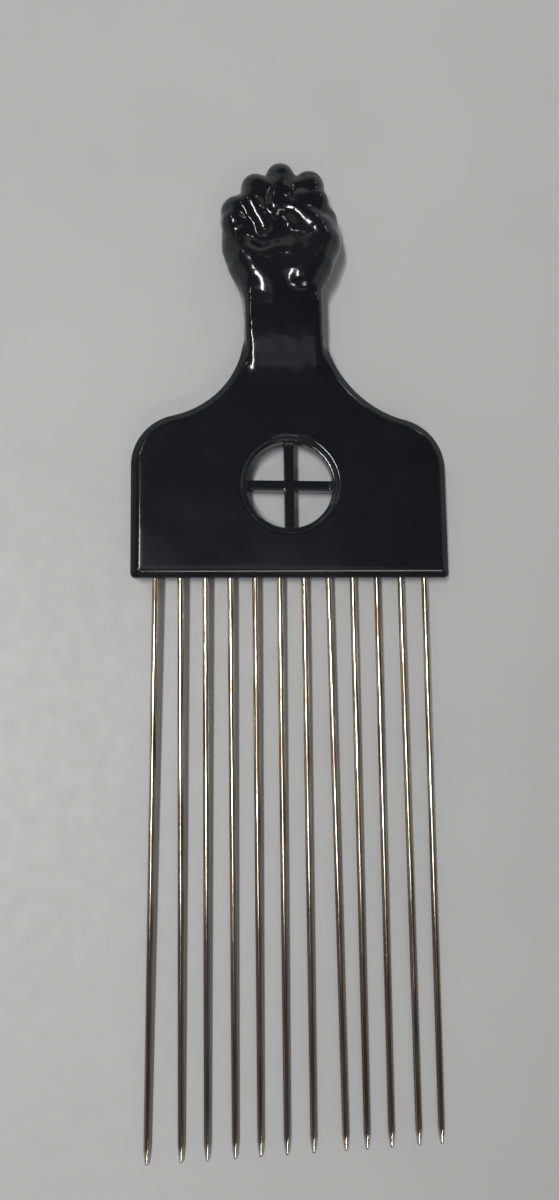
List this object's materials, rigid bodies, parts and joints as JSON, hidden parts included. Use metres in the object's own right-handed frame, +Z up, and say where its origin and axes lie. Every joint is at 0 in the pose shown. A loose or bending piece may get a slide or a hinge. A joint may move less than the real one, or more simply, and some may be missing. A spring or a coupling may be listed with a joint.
{
  "type": "afro pick",
  "caption": "Hair pick with a moulded plastic handle that ends in a raised fist, a round window with crossed bars, and a row of long straight wire tines.",
  "frame": {"origin": "under the middle of the pick, at the level on which the back of its knuckles lies", "axes": "+Y along the pick from the tips of the tines to the fist, +X across it to the thumb's side, +Z up through its front"},
  "size_m": [0.078, 0.2382, 0.0145],
  "materials": {
    "handle_plastic": "glossy",
    "tine_wire": "bright nickel plating"
  },
  "bodies": {
    "root": {"handle": "handle_plastic", "tine_01": "tine_wire", "tine_02": "tine_wire", "tine_03": "tine_wire", "tine_04": "tine_wire", "tine_05": "tine_wire", "tine_06": "tine_wire", "tine_07": "tine_wire", "tine_08": "tine_wire", "tine_09": "tine_wire", "tine_10": "tine_wire", "tine_11": "tine_wire", "tine_12": "tine_wire"}
  },
  "joints": []
}
